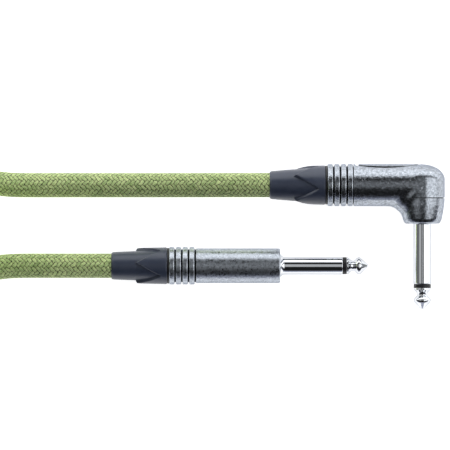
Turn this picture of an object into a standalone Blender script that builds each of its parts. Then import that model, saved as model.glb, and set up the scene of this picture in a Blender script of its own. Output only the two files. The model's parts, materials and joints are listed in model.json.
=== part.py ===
"""Instrument cable: a braided lead with a straight and a right-angled 6.35 mm plug.

All sizes are in millimetres and are turned into metres when a mesh is made. Both plugs lie on the plane z = 0,
with their cable ends towards -X. The origin is at the middle of the two plugs' box, on that plane.
A plug is modelled along its own axis: u runs towards the tip, and u = 0 is named at each plug.
"""

import math

import bmesh
import bpy
from mathutils import Matrix, Vector

MM = 0.001
GAP = 0.3  # between the free cable's solids and what they meet
ROUND = 24  # segments round a large turned piece
SMALL_ROUND = 16  # segments round a piece inside a plug

# Driving dimensions of both plugs together
SPAN_X = 119.9  # from the straight boot's mouth to the elbow's outer side
SPAN_Y = 52.5  # from the barrel's top to the angled plug's point
AXES_APART = 29.0  # between the two cable axes, along Y

# The cable
CABLE_R = 4.4
JACKET_R = 3.25
CORE_R = 1.0
WIRE_R = 0.35
PIGTAIL_R = 0.6

# The 6.35 mm plug contact, measured from its shoulder
SHANK_R = 3.175
PLUG_LENGTH = 31.0
RING_FROM, RING_TO = 21.7, 23.1
ROD_R = 1.1
TUBE_R = 1.65
COLLAR_R = 4.15
FLANGE_R = 4.5
FLANGE_FROM, FLANGE_TO = -7.0, -3.1
SLIP = 0.1  # radial clearance between fixed pieces inside a plug

# The screw that joins a boot to its plug
PITCH = 1.5
THREAD_DEPTH = 0.4
THREAD_SLIP = 0.2
ROWS_PER_PITCH = 6
FADE_ROWS = 2
TAIL_LENGTH = 6.0

# The boot
BOOT_LENGTH = 20.0
BOOT_BORE_R = CABLE_R + 0.15
MOUTH_R = 4.95
EAR_TIP = 11.1  # from the boot's wide face
EAR_ROOT = 2.4
CODE_RING = 0.8

# The straight shell, measured back from its front face
SHELL_R = 6.25
SHELL_RIB_R = 6.75
SHELL_LENGTH = 39.9
SHELL_BORE_R = 4.6
FRONT_WALL = 2.2
FRONT_PROUD = 0.8  # how far the shoulder stands out of the front face

# The angled body, measured from where its barrel's axis meets the plug's axis
BARREL_R = 7.6
BARREL_LENGTH = 34.1
BARREL_BORE_R = 5.6
ELBOW_R = 8.1
ELBOW_TOP = 7.5
SEAM_DROP = 4.8
CAP_BACK = 4.1
NOSE_DROP = 13.9
NOSE_R = 5.7
NOSE_WALL = 3.0
FILLET_R = 4.8

# Ribs at the cable end of both housings
RIBS = 4
RIB_PITCH = 2.4
RIB_GROOVE = 0.45
RIB_DEPTH = 0.55

# The stored length of cable, laid up as a hank behind the plugs
HANK_RIGHT = -104.0  # the hank's end that faces the plugs
HANK_STRAIGHT = 82.0  # between the centres of its round ends
FOLD_R = 3 * 2 * CABLE_R  # centre line of the inner column of turns
COLUMNS = 2
LAYERS = 4
TIE_WIDTH = 18.0
TIE_THICK = 1.0
TIE_SLACK = 0.15
HANK_BASE = TIE_THICK + TIE_SLACK

STRAIGHT_AXIS_Z = SHELL_RIB_R
ANGLED_AXIS_Z = BARREL_R
ANGLED_AXIS_Y = SPAN_Y / 2 - BARREL_R
STRAIGHT_AXIS_Y = ANGLED_AXIS_Y - AXES_APART
HANK_MIDDLE_Y = (ANGLED_AXIS_Y + STRAIGHT_AXIS_Y) / 2
ANGLED_CORNER_X = SPAN_X / 2 - ELBOW_R
STRAIGHT_FACE_X = -SPAN_X / 2 + BOOT_LENGTH + CODE_RING + SHELL_LENGTH

COLOURS = {
    "nickel_satin": ((0.62, 0.63, 0.66), 0.34, 1.0),
    "nickel_bright": ((0.84, 0.85, 0.87), 0.12, 1.0),
    "boot_plastic": ((0.065, 0.072, 0.095), 0.55, 0.0),
    "black_plastic": ((0.012, 0.012, 0.014), 0.45, 0.0),
    "white_plastic": ((0.78, 0.77, 0.72), 0.5, 0.0),
    "cable_braid": ((0.45, 0.58, 0.21), 0.9, 0.0),
    "cable_jacket": ((0.03, 0.03, 0.032), 0.6, 0.0),
    "core_plastic": ((0.82, 0.80, 0.74), 0.5, 0.0),
    "copper": ((0.80, 0.42, 0.25), 0.35, 1.0),
    "solder": ((0.66, 0.67, 0.68), 0.3, 1.0),
    "tie_fabric": ((0.02, 0.02, 0.022), 0.95, 0.0),
}


def clear_scene():
    for obj in list(bpy.data.objects):
        bpy.data.objects.remove(obj)


def material(name):
    if name in bpy.data.materials:
        return bpy.data.materials[name]
    colour, roughness, metallic = COLOURS[name]
    made = bpy.data.materials.new(name)
    made.use_nodes = True
    shader = made.node_tree.nodes["Principled BSDF"]
    shader.inputs["Base Color"].default_value = (*colour, 1.0)
    shader.inputs["Roughness"].default_value = roughness
    shader.inputs["Metallic"].default_value = metallic
    return made


def empty(name, location, turn_z=0.0, parent=None):
    made = bpy.data.objects.new(name, None)
    made.location = [c * MM for c in location]
    made.rotation_euler = (0.0, 0.0, turn_z)
    made.parent = parent
    bpy.context.collection.objects.link(made)
    return made


def add_object(name, bm, finish, parent=None, location=(0, 0, 0)):
    """Turns a bmesh in millimetres into an object in metres."""
    bmesh.ops.recalc_face_normals(bm, faces=bm.faces)
    bm.transform(Matrix.Scale(MM, 4))
    mesh = bpy.data.meshes.new(name)
    bm.to_mesh(mesh)
    bm.free()
    mesh.shade_smooth()
    mesh.set_sharp_from_angle(angle=math.radians(35))
    obj = bpy.data.objects.new(name, mesh)
    bpy.context.collection.objects.link(obj)
    obj.data.materials.append(material(finish))
    obj.parent = parent
    obj.location = [c * MM for c in location]
    return obj


# ---------------------------------------------------------------- turned shapes


def turned(profile, segments=ROUND, stretch_z=1.0):
    """A solid turned about the X axis.

    Each point is (u, r), or (u, function of the angle) where the radius changes round the axis. A profile that
    starts and ends on the axis makes a full solid, and any other a tube.
    """
    bm = bmesh.new()
    rings = []
    for u, radius in profile:
        if not callable(radius) and radius < 1e-6:
            rings.append([bm.verts.new((u, 0.0, 0.0))])
            continue
        ring = []
        for k in range(segments):
            angle = 2 * math.pi * k / segments
            r = radius(angle) if callable(radius) else radius
            ring.append(bm.verts.new((u, r * math.cos(angle), r * math.sin(angle) * stretch_z)))
        rings.append(ring)
    is_tube = len(rings[0]) > 1 and len(rings[-1]) > 1
    pairs = list(zip(rings, rings[1:]))
    if is_tube:
        pairs.append((rings[-1], rings[0]))
    for first, second in pairs:
        for k in range(segments):
            n = (k + 1) % segments
            corners = [first[k % len(first)], first[n % len(first)]]
            corners += [second[n % len(second)], second[k % len(second)]]
            distinct = list(dict.fromkeys(corners))
            if len(distinct) > 2:
                bm.faces.new(distinct)
    return bm


def thread_rows(start, end, root_r):
    """Rings of a knuckle thread between two places along the axis, fading out over FADE_ROWS at both."""
    length = abs(end - start)
    count = round(length / PITCH * ROWS_PER_PITCH)
    rows = []
    for k in range(count + 1):
        u = start + (end - start) * k / count
        fade = min(1.0, k / FADE_ROWS, (count - k) / FADE_ROWS)
        rows.append((u, thread_radius(u, root_r, fade)))
    return rows


def thread_radius(u, root_r, fade):
    def radius(angle):
        phase = u / PITCH - angle / (2 * math.pi)
        return root_r + fade * THREAD_DEPTH * (0.5 - 0.5 * math.cos(2 * math.pi * phase))

    return radius


def arc(centre_u, centre_r, radius, start_deg, end_deg, steps):
    """Profile points along an arc; 0 degrees points along +u and 90 degrees away from the axis."""
    points = []
    for k in range(steps + 1):
        a = math.radians(start_deg + (end_deg - start_deg) * k / steps)
        points.append((centre_u + radius * math.cos(a), centre_r + radius * math.sin(a)))
    return points


def ribs(rear, outer_r):
    """The ribs' outline from a housing's rear face forwards."""
    points = []
    for k in range(RIBS):
        start = rear + k * RIB_PITCH
        end = start + RIB_PITCH - RIB_GROOVE
        points += [(start, outer_r - 0.35), (start + 0.35, outer_r), (end - 0.35, outer_r)]
        points += [(end, outer_r - 0.35), (end, outer_r - RIB_DEPTH), (end + RIB_GROOVE, outer_r - RIB_DEPTH)]
    return points


# ---------------------------------------------------------------- booleans and simple solids


def boolean(target, tool, operation):
    modifier = target.modifiers.new(operation.lower(), "BOOLEAN")
    modifier.operation = operation
    modifier.solver = "EXACT"
    modifier.object = tool


def helper(obj):
    """Marks a cutter or a piece that is joined into another one."""
    obj.hide_render = True
    obj.display_type = "WIRE"
    return obj


def block(low, high):
    bm = bmesh.new()
    bmesh.ops.create_cube(bm, size=1.0)
    size = Vector(high) - Vector(low)
    middle = (Vector(high) + Vector(low)) / 2
    bm.transform(Matrix.Translation(middle) @ Matrix.Diagonal((*size, 1.0)))
    return bm


def prism(outline, low_z, high_z):
    """A flat outline in X and Y, extruded along Z."""
    bm = bmesh.new()
    base = bm.faces.new([bm.verts.new((x, y, low_z)) for x, y in outline])
    raised = bmesh.ops.extrude_face_region(bm, geom=[base])["geom"]
    moved = [v for v in raised if isinstance(v, bmesh.types.BMVert)]
    bmesh.ops.translate(bm, verts=moved, vec=(0.0, 0.0, high_z - low_z))
    return bm


def catmull_rom(points, per_span):
    """A smooth curve through points, the first and last of which only steer it."""
    line = []
    for p0, p1, p2, p3 in zip(points, points[1:], points[2:], points[3:]):
        p0, p1, p2, p3 = (Vector(p) for p in (p0, p1, p2, p3))
        for k in range(per_span):
            t = k / per_span
            line.append(
                0.5
                * (
                    2 * p1
                    + (p2 - p0) * t
                    + (2 * p0 - 5 * p1 + 4 * p2 - p3) * t * t
                    + (3 * p1 - p0 - 3 * p2 + p3) * t * t * t
                )
            )
    line.append(Vector(points[-2]))
    return line


def tube(name, line, radius, finish, parent=None, sides=2):
    """A round wire along a line of points."""
    curve = bpy.data.curves.new(name, "CURVE")
    curve.dimensions = "3D"
    curve.bevel_depth = radius * MM
    curve.bevel_resolution = sides
    curve.use_fill_caps = True
    spline = curve.splines.new("POLY")
    spline.points.add(len(line) - 1)
    for point, place in zip(spline.points, line):
        point.co = (*(c * MM for c in place), 1.0)
    obj = bpy.data.objects.new(name, curve)
    bpy.context.collection.objects.link(obj)
    obj.data.materials.append(material(finish))
    obj.parent = parent
    return obj


# ---------------------------------------------------------------- pieces that both plugs have


def tip_profile():
    """The ball tip and the rod behind it, from the rod's end forwards."""
    ball_u, neck_u = 27.5, 25.3
    return [
        (-9.6, 0.0),
        (-9.6, ROD_R),
        (RING_FROM - 2.0, ROD_R),
        (RING_TO + SLIP, ROD_R),
        (RING_TO + SLIP, 3.05),
        (RING_TO + 0.7, 3.05),
        (neck_u - 0.6, 1.95),
        (neck_u, 1.8),
        (neck_u + 0.7, 1.95),
        (ball_u - 0.5, 2.95),
        (ball_u, 3.1),
        (ball_u + 0.5, 2.95),
        (PLUG_LENGTH - 0.25, 0.35),
        (PLUG_LENGTH, 0.0),
    ]


def contact_set(prefix, parent, flare_from, flare_to, tag_turn):
    """The plug's own contacts and insulators, along the parent's +X, with the shoulder at u = 0."""
    add_object(
        f"{prefix}_sleeve_contact",
        turned(
            [
                (FLANGE_FROM, FLANGE_R),
                (FLANGE_TO, FLANGE_R),
                (FLANGE_TO, COLLAR_R),
                (flare_from, COLLAR_R),
                (flare_from + 0.3 * (flare_to - flare_from), 3.7),
                (flare_from + 0.6 * (flare_to - flare_from), 3.35),
                (flare_to, SHANK_R),
                (RING_FROM - 0.15, SHANK_R),
                (RING_FROM, SHANK_R - 0.15),
                (RING_FROM, TUBE_R + SLIP),
                (FLANGE_FROM, TUBE_R + SLIP),
            ]
        ),
        "nickel_bright",
        parent,
    )
    add_object(
        f"{prefix}_ring_insulator",
        turned(
            [
                (RING_FROM + SLIP / 2, 3.1),
                (RING_TO, 3.1),
                (RING_TO, ROD_R + SLIP),
                (RING_FROM + SLIP / 2, ROD_R + SLIP),
            ]
        ),
        "black_plastic",
        parent,
    )
    tube_from = FLANGE_FROM - 0.6
    add_object(
        f"{prefix}_tube_insulator",
        turned(
            [
                (tube_from, TUBE_R),
                (RING_FROM - SLIP, TUBE_R),
                (RING_FROM - SLIP, ROD_R + SLIP),
                (tube_from, ROD_R + SLIP),
            ],
            SMALL_ROUND,
        ),
        "white_plastic",
        parent,
    )
    add_object(f"{prefix}_tip_contact", turned(tip_profile()), "nickel_bright", parent)
    washer_from, washer_to = -8.3, FLANGE_FROM - SLIP
    add_object(
        f"{prefix}_rear_insulator",
        turned(
            [
                (washer_from, 3.9),
                (washer_to, 3.9),
                (washer_to, TUBE_R + SLIP),
                (tube_from - SLIP, TUBE_R + SLIP),
                (tube_from - SLIP, ROD_R + SLIP),
                (washer_from, ROD_R + SLIP),
            ],
            SMALL_ROUND,
        ),
        "black_plastic",
        parent,
    )
    tags = empty(f"{prefix}_tags", (0, 0, 0), 0.0, parent)
    tags.rotation_euler = (tag_turn, 0.0, 0.0)
    tip_terminal(prefix, tags, washer_from - SLIP)
    ground_terminal(prefix, tags)
    return tags


def tip_terminal(prefix, parent, front):
    """A washer riveted to the rod, with a solder tongue running back from its edge."""
    thick, tongue_end = 0.6, -14.5
    washer = turned(
        [
            (front - thick, 2.7),
            (front, 2.7),
            (front, ROD_R + SLIP),
            (front - thick, ROD_R + SLIP),
        ],
        SMALL_ROUND,
    )
    obj = add_object(f"{prefix}_tip_terminal", washer, "nickel_bright", parent)
    tongue = add_object(
        f"{prefix}_tip_tongue",
        block((tongue_end, -1.2, 1.9), (front - 0.1, 1.2, 2.5)),
        "nickel_bright",
        parent,
    )
    boolean(obj, helper(tongue), "UNION")


def ground_terminal(prefix, parent):
    """A curved tag that stands on the flange's rear face, opposite the tip's tongue."""
    half, steps = math.radians(32), 6
    inner, outer = 4.05, FLANGE_R
    outline = []
    for r, order in ((outer, 1), (inner, -1)):
        for k in range(steps + 1):
            a = -math.pi / 2 + order * half * (2 * k / steps - 1)
            outline.append((r * math.cos(a), r * math.sin(a)))
    tag = prism(outline, FLANGE_FROM - 8.5, FLANGE_FROM - SLIP / 2)
    # The prism stands along Z, and the plug lies along X.
    bm_turn = Matrix(((0, 0, 1, 0), (1, 0, 0, 0), (0, 1, 0, 0), (0, 0, 0, 1)))
    tag.transform(bm_turn)
    add_object(f"{prefix}_ground_terminal", tag, "nickel_bright", parent)


def boot(prefix, parent, wide_u, wide_r, middle_r, ear_r, tail_r, turn):
    """The screw-on cable gland: a soft cone with four pointed ears and a threaded socket."""
    mouth_u = wide_u - BOOT_LENGTH
    tip_u, root_u = wide_u - EAR_TIP, wide_u - EAR_ROOT
    cone = turned(
        [
            (mouth_u, 0.0),
            (mouth_u, MOUTH_R - 0.3),
            (mouth_u + 0.25, MOUTH_R),
            (mouth_u + 4.5, 0.5 * (MOUTH_R + middle_r) + 0.1),
            (tip_u, middle_r),
            (0.5 * (tip_u + root_u), 0.5 * (middle_r + ear_r)),
            (root_u + 0.3, ear_r - 0.1),
            (wide_u - 1.0, ear_r - 0.1),
            (wide_u - 1.0, 0.0),
        ]
    )
    obj = add_object(f"{prefix}_boot", cone, "boot_plastic", parent)
    collar = turned(
        [
            (tip_u, middle_r - 0.8),
            (tip_u, ear_r - 0.15),
            (tip_u + 0.3, ear_r),
            (wide_u - 0.3, wide_r),
            (wide_u, wide_r - 0.3),
            (wide_u, middle_r - 0.8),
        ]
    )
    ears = helper(add_object(f"{prefix}_boot_ears", collar, "boot_plastic", parent))
    for k in range(4):
        notch = boot_notch(tip_u, root_u, turn + math.pi / 4 + k * math.pi / 2)
        cutter = helper(add_object(f"{prefix}_boot_notch_{k}", notch, "boot_plastic", parent))
        boolean(ears, cutter, "DIFFERENCE")
    boolean(obj, ears, "UNION")
    socket_end = wide_u - TAIL_LENGTH + CODE_RING
    female_r = tail_r - THREAD_DEPTH + THREAD_SLIP
    # The inner thread has its full depth where it leaves the wide face, so that the tail can screw out.
    open_u = wide_u + (FADE_ROWS + 1) * PITCH / ROWS_PER_PITCH
    bore = [(wide_u + 2.0, 0.0), (wide_u + 2.0, female_r)]
    bore += thread_rows(open_u, socket_end, female_r)
    bore += [
        (socket_end - 0.3, tail_r - 0.15),
        (socket_end - 4.2, BOOT_BORE_R),
        (mouth_u - 1.0, BOOT_BORE_R),
        (mouth_u - 1.0, 0.0),
    ]
    cavity = helper(add_object(f"{prefix}_boot_cavity", turned(bore), "boot_plastic", parent))
    boolean(obj, cavity, "DIFFERENCE")
    return obj


def boot_notch(tip_u, root_u, middle_angle):
    """A wedge between two ears, as wide as a quarter turn at the ears' tips and pointed at their root."""
    bm = bmesh.new()
    stations, across = 5, 8
    start_u = tip_u - 1.0
    layers = []
    for radius in (3.0, 9.0):
        rows = []
        for s in range(stations + 1):
            u = start_u + (root_u - start_u) * s / stations
            half = math.pi / 4 * (root_u - u) / (root_u - tip_u)
            count = across if s < stations else 0
            row = []
            for k in range(count + 1):
                a = middle_angle + (half * (2 * k / across - 1) if count else 0.0)
                row.append(bm.verts.new((u, radius * math.cos(a), radius * math.sin(a))))
            rows.append(row)
        for first, second in zip(rows, rows[1:]):
            for k in range(across):
                corners = [first[k], first[k + 1]]
                corners += [second[min(k + 1, len(second) - 1)], second[min(k, len(second) - 1)]]
                bm.faces.new(list(dict.fromkeys(corners)))
        layers.append(rows)
    inner, outer = layers
    loops = []
    for rows in (inner, outer):
        loop = list(rows[0])
        loop += [row[-1] for row in rows[1:]]
        loop += [row[0] for row in rows[-2:0:-1]]
        loops.append(loop)
    count = len(loops[0])
    for k in range(count):
        n = (k + 1) % count
        bm.faces.new([loops[0][k], loops[0][n], loops[1][n], loops[1][k]])
    return bm


def chuck(prefix, parent, tail_end, tail_bore_r, tail_r):
    """The collet that grips the cable's jacket: slotted fingers in the tail, and a cone for the boot to press."""
    bore_r = JACKET_R + 0.15
    body_r = tail_bore_r - 0.15
    head_r = tail_r - 0.45
    back = tail_end - 4.3
    obj = add_object(
        f"{prefix}_chuck",
        turned(
            [
                (tail_end + 9.0, bore_r),
                (back, bore_r),
                (back, BOOT_BORE_R - 0.25),
                (tail_end - 0.6, head_r),
                (tail_end - 0.15, head_r),
                (tail_end - 0.15, body_r),
                (tail_end + 9.0, body_r),
            ]
        ),
        "white_plastic",
        parent,
    )
    for k in range(2):
        half = Vector((0.5, 0.5))
        low = (back - 1.0, -half.x, -9.0) if k else (back - 1.0, -9.0, -half.y)
        high = (tail_end + 6.0, half.x, 9.0) if k else (tail_end + 6.0, 9.0, half.y)
        slot = helper(add_object(f"{prefix}_chuck_slot_{k}", block(low, high), "white_plastic", parent))
        boolean(obj, slot, "DIFFERENCE")
    return obj


def code_ring(prefix, parent, rear_u, outer_r, tail_r):
    add_object(
        f"{prefix}_code_ring",
        turned(
            [
                (rear_u - CODE_RING + 0.05, outer_r - 0.2),
                (rear_u - CODE_RING + 0.2, outer_r),
                (rear_u - 0.2, outer_r),
                (rear_u - 0.05, outer_r - 0.2),
                (rear_u - 0.05, tail_r + 0.1),
                (rear_u - CODE_RING + 0.05, tail_r + 0.1),
            ]
        ),
        "black_plastic",
        parent,
    )


def cable_end(prefix, parent, mouth_u, jacket_end):
    """The cable's two skins inside a plug: the braid's end, held in the boot, and the stripped jacket."""
    braid_from = mouth_u + GAP
    braid_to = mouth_u + 3.8
    braid = [(braid_from, JACKET_R + SLIP), (braid_from, CABLE_R), (braid_to - 0.3, CABLE_R)]
    braid += [(braid_to, CABLE_R - 0.3), (braid_to, JACKET_R + SLIP)]
    add_object(f"{prefix}_braid_end", turned(braid), "cable_braid", parent)
    jacket = [(braid_from, 0.0), (braid_from, JACKET_R), (jacket_end - 0.2, JACKET_R)]
    jacket += [(jacket_end, JACKET_R - 0.2), (jacket_end, 0.0)]
    add_object(f"{prefix}_jacket_end", turned(jacket, SMALL_ROUND), "cable_jacket", parent)


def wiring(prefix, parent, core_points, wire_points, pigtail_points):
    """The insulated core, its bare end at the tip's terminal, and the twisted screen at the ground tag."""
    tube(f"{prefix}_core_insulation", catmull_rom(core_points, 3), CORE_R, "core_plastic", parent, 1)
    tube(f"{prefix}_core_wire", catmull_rom(wire_points, 3), WIRE_R, "copper", parent, 1)
    tube(f"{prefix}_screen_pigtail", catmull_rom(pigtail_points, 3), PIGTAIL_R, "copper", parent, 1)


def solder(name, parent, place, radii):
    bm = bmesh.new()
    bmesh.ops.create_icosphere(bm, subdivisions=2, radius=1.0)
    bm.transform(Matrix.Translation(place) @ Matrix.Diagonal((*radii, 1.0)))
    add_object(name, bm, "solder", parent)


# ---------------------------------------------------------------- the straight plug


def straight_shell(parent):
    rear = -SHELL_LENGTH
    tail_end = rear - TAIL_LENGTH
    tail_r = 5.6
    front_bore = COLLAR_R + SLIP
    outer = [(tail_end, tail_r - THREAD_DEPTH - 0.2)]
    outer += thread_rows(tail_end + 0.2, rear - CODE_RING - 0.2, tail_r - THREAD_DEPTH)
    outer += [(rear, tail_r - THREAD_DEPTH)]
    outer += ribs(rear, SHELL_RIB_R)
    outer += [(rear + RIBS * RIB_PITCH + 0.3, SHELL_R)]
    outer += arc(-0.4, SHELL_R - 0.4, 0.4, 90, 0, 3)
    inner = [(0.0, front_bore), (-FRONT_WALL, front_bore)]
    inner += [(-FRONT_WALL, SHELL_BORE_R), (tail_end, SHELL_BORE_R)]
    add_object("straight_shell", turned(outer + inner), "nickel_satin", parent)
    return rear, tail_end, tail_r


def straight_plug():
    axis = empty("straight_axis", (STRAIGHT_FACE_X, STRAIGHT_AXIS_Y, STRAIGHT_AXIS_Z))
    rear, tail_end, tail_r = straight_shell(axis)
    code_ring("straight", axis, rear, 6.45, tail_r)
    wide_u = rear - CODE_RING
    boot("straight", axis, wide_u, 6.65, 5.3, 6.4, tail_r, math.radians(79))
    chuck("straight", axis, tail_end, SHELL_BORE_R, tail_r)
    contacts = empty("straight_contacts", (FRONT_PROUD, 0, 0), 0.0, axis)
    contact_set("straight", contacts, -0.75, 0.7, 0.0)
    jacket_end = tail_end + 10.0
    cable_end("straight", axis, wide_u - BOOT_LENGTH, jacket_end)
    cut = jacket_end + SLIP
    bare = jacket_end + 14.0
    tongue_z, tag_z = 2.95, -3.15
    core = [(cut - 8, 0, 0), (cut, 0, 0), (cut + 7, 0, 0.1), (bare, 0, 1.2), (bare + 6, 0, 2.2)]
    wire = [(bare - 5, 0, 0.4), (bare + 0.15, 0, 1.3), (bare + 6, 0, 2.5), (-11.6, 0, tongue_z), (-8, 0, tongue_z)]
    screen = [(cut - 9, 0, -2.2), (cut, 0, -2.2), (-28, 0, -2.5), (-11.4, 0, tag_z), (-4, 0, tag_z)]
    wiring("straight", axis, core, wire, screen)
    solder("straight_tip_solder", axis, (-10.5, 0, 3.0), (1.0, 0.9, 0.4))
    solder("straight_ground_solder", axis, (-10.4, 0, -3.5), (0.9, 0.8, 0.4))


# ---------------------------------------------------------------- the angled plug


def elbow_outer(parent):
    """The outer shape of barrel, elbow and nose, joined."""
    rear = -BARREL_LENGTH
    tail_end = rear - TAIL_LENGTH
    tail_r = 6.0
    profile = [(tail_end, 0.0), (tail_end, tail_r - THREAD_DEPTH - 0.2)]
    profile += thread_rows(tail_end + 0.2, rear - CODE_RING - 0.2, tail_r - THREAD_DEPTH)
    profile += [(rear, tail_r - THREAD_DEPTH)]
    profile += ribs(rear, BARREL_R - 0.05)
    profile += [(rear + RIBS * RIB_PITCH + 0.4, BARREL_R), (-4.0, BARREL_R)]
    profile += [(0.0, BARREL_R - 0.12), (0.0, 0.0)]
    body = add_object("angled_body", turned(profile), "nickel_satin", parent)
    squeeze = (BARREL_R - 0.02) / ELBOW_R
    column = [(-ELBOW_TOP, 0.0)]
    steps = 7
    for k in range(1, steps + 1):
        a = math.pi / 2 * k / steps
        column.append((-ELBOW_TOP + 5.6 * (1 - math.cos(a)), ELBOW_R * math.sin(a)))
    column += [(SEAM_DROP, ELBOW_R), (SEAM_DROP + 2.5, ELBOW_R - 0.25), (NOSE_DROP - 1.4, ELBOW_R - 1.15)]
    column += [(NOSE_DROP - 0.4, ELBOW_R - 1.6), (NOSE_DROP, NOSE_R), (NOSE_DROP, 0.0)]
    upright = add_object("angled_upright", turned(column, ROUND, squeeze), "nickel_satin", parent)
    upright.rotation_euler = (0.0, 0.0, -math.pi / 2)
    web = helper(add_object("angled_web", fillet_web(), "nickel_satin", parent))
    boolean(body, helper(upright), "UNION")
    boolean(body, web, "UNION")
    return body, rear, tail_end, tail_r


def fillet_web():
    """The concave corner between barrel and nose."""
    side_x = -(ELBOW_R - 1.3)
    under_y = -(BARREL_R - 0.9)
    steps = 8
    outline = [(side_x + 3.0, under_y + 3.0), (side_x - FILLET_R, under_y + 3.0)]
    centre = (side_x - FILLET_R, under_y - FILLET_R)
    for k in range(steps + 1):
        a = math.pi / 2 * (1 - k / steps)
        outline.append((centre[0] + FILLET_R * math.cos(a), centre[1] + FILLET_R * math.sin(a)))
    outline.append((side_x + 3.0, under_y - FILLET_R))
    return prism(outline, -3.6, 3.6)


def cap_region(gap):
    """The box that holds the elbow's rear cap; gap takes it in on the two joint faces."""
    return block((-CAP_BACK + gap, -SEAM_DROP + gap, -20.0), (20.0, 20.0, 20.0))


def angled_housing(parent):
    body, rear, tail_end, tail_r = elbow_outer(parent)
    tail_bore_r = 4.95
    hollow = [
        (tail_end - 1.0, 0.0),
        (tail_end - 1.0, tail_bore_r),
        (rear + 4.0, tail_bore_r),
        (rear + 5.0, BARREL_BORE_R),
        (0.0, BARREL_BORE_R),
        (0.0, 0.0),
    ]
    barrel_bore = helper(add_object("angled_barrel_bore", turned(hollow), "nickel_satin", parent))
    well = [
        (-ELBOW_TOP + 1.9, 0.0),
        (-ELBOW_TOP + 1.9, 4.2),
        (-ELBOW_TOP + 3.0, 5.8),
        (SEAM_DROP - 0.5, 5.8),
        (SEAM_DROP + 1.5, SHELL_BORE_R),
        (NOSE_DROP - NOSE_WALL, SHELL_BORE_R),
        (NOSE_DROP - NOSE_WALL, COLLAR_R + SLIP),
        (NOSE_DROP + 1.0, COLLAR_R + SLIP),
        (NOSE_DROP + 1.0, 0.0),
    ]
    upright_bore = add_object("angled_upright_bore", turned(well), "nickel_satin", parent)
    upright_bore.rotation_euler = (0.0, 0.0, -math.pi / 2)
    boolean(body, barrel_bore, "DIFFERENCE")
    boolean(body, helper(upright_bore), "DIFFERENCE")
    cap = body.copy()
    cap.name = "angled_rear_cap"
    cap.data = body.data.copy()
    bpy.context.collection.objects.link(cap)
    inside = helper(add_object("angled_cap_inside", cap_region(0.06), "nickel_satin", parent))
    outside = helper(add_object("angled_cap_outside", cap_region(0.0), "nickel_satin", parent))
    boolean(cap, inside, "INTERSECT")
    boolean(body, outside, "DIFFERENCE")
    return rear, tail_end, tail_r, tail_bore_r


def angled_plug():
    axis = empty("angled_axis", (ANGLED_CORNER_X, ANGLED_AXIS_Y, ANGLED_AXIS_Z))
    rear, tail_end, tail_r, tail_bore_r = angled_housing(axis)
    code_ring("angled", axis, rear, 7.0, tail_r)
    wide_u = rear - CODE_RING
    boot("angled", axis, wide_u, 7.1, 5.75, 6.85, tail_r, math.radians(57))
    chuck("angled", axis, tail_end, tail_bore_r, tail_r)
    contacts = empty("angled_contacts", (0, -NOSE_DROP, 0), -math.pi / 2, axis)
    contact_set("angled", contacts, -0.5, 0.15, math.pi / 2)
    jacket_end = tail_end + 10.0
    cable_end("angled", axis, wide_u - BOOT_LENGTH, jacket_end)
    cut = jacket_end + SLIP
    bare = -6.5
    core = [(cut - 8, 0, 0), (cut, 0, 0), (-20, 0.3, 0.2), (bare, 0, 0), (0, 0, 0)]
    wire = [(bare - 5, 0, 0), (bare + 0.15, 0, 0), (-4.9, 0, 0), (-3.6, 0, 0), (0, 0, 0)]
    screen = [(cut - 9, 0, -2.2), (cut, 0, -2.2), (-12, 0.5, -2.9), (-2, 0.8, -3.1), (1.9, 0.8, -2.4), (5, 0, 0)]
    wiring("angled", axis, core, wire, screen)
    solder("angled_tip_solder", axis, (-3.05, -0.2, 0), (0.4, 0.7, 0.9))


# ---------------------------------------------------------------- the free cable


def cable_run(name, mouth_x, axis_y, axis_z, low_x):
    """The cable from a boot's mouth: straight out, down to the table, and up to the hank's height."""
    hank_x = HANK_RIGHT - 1.0
    points = [
        (mouth_x + 8.0, axis_y, axis_z),
        (mouth_x - GAP, axis_y, axis_z),
        (mouth_x - 13.0, axis_y, axis_z),
        (mouth_x - 24.0, axis_y, axis_z - 0.6),
    ]
    points += [(x, axis_y, CABLE_R + 0.2) for x in low_x]
    points += [(hank_x, axis_y, CABLE_R + HANK_BASE), (hank_x - 12.0, axis_y, CABLE_R + HANK_BASE)]
    tube(name, catmull_rom(points, 4), CABLE_R, "cable_braid")


def stadium(half_width, centre_right, centre_left, steps=12):
    """An outline with round ends, as points in X and Y about the hank's middle line."""
    points = []
    for centre, start in ((centre_right, -math.pi / 2), (centre_left, math.pi / 2)):
        for k in range(steps + 1):
            a = start + math.pi * k / steps
            points.append((centre + half_width * math.cos(a), half_width * math.sin(a)))
    return points


def hank():
    """The stored cable: one long ring with round ends, two columns of turns wide and four layers high."""
    outer = FOLD_R + (COLUMNS - 0.5) * 2 * CABLE_R
    inner = FOLD_R - CABLE_R
    right = HANK_RIGHT - outer
    left = right - HANK_STRAIGHT
    top = LAYERS * 2 * CABLE_R
    bm = bmesh.new()
    loops = []
    cut = 2.0
    section = [(outer - cut, 0), (outer, cut), (outer, top - cut), (outer - cut, top)]
    section += [(inner + cut, top), (inner, top - cut), (inner, cut), (inner + cut, 0)]
    for half_width, z in section:
        loops.append([bm.verts.new((x, y, z)) for x, y in stadium(half_width, right, left)])
    count = len(loops[0])
    for first, second in zip(loops, loops[1:] + loops[:1]):
        for k in range(count):
            n = (k + 1) % count
            bm.faces.new([first[k], first[n], second[n], second[k]])
    add_object("cable_hank", bm, "cable_braid", None, (0, HANK_MIDDLE_Y, HANK_BASE))
    middle_x = (left + right) / 2
    for name, side in (("near", -1), ("far", 1)):
        tie(f"cable_tie_{name}", middle_x, HANK_MIDDLE_Y + side * (inner + outer) / 2, outer - inner, top)


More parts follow.
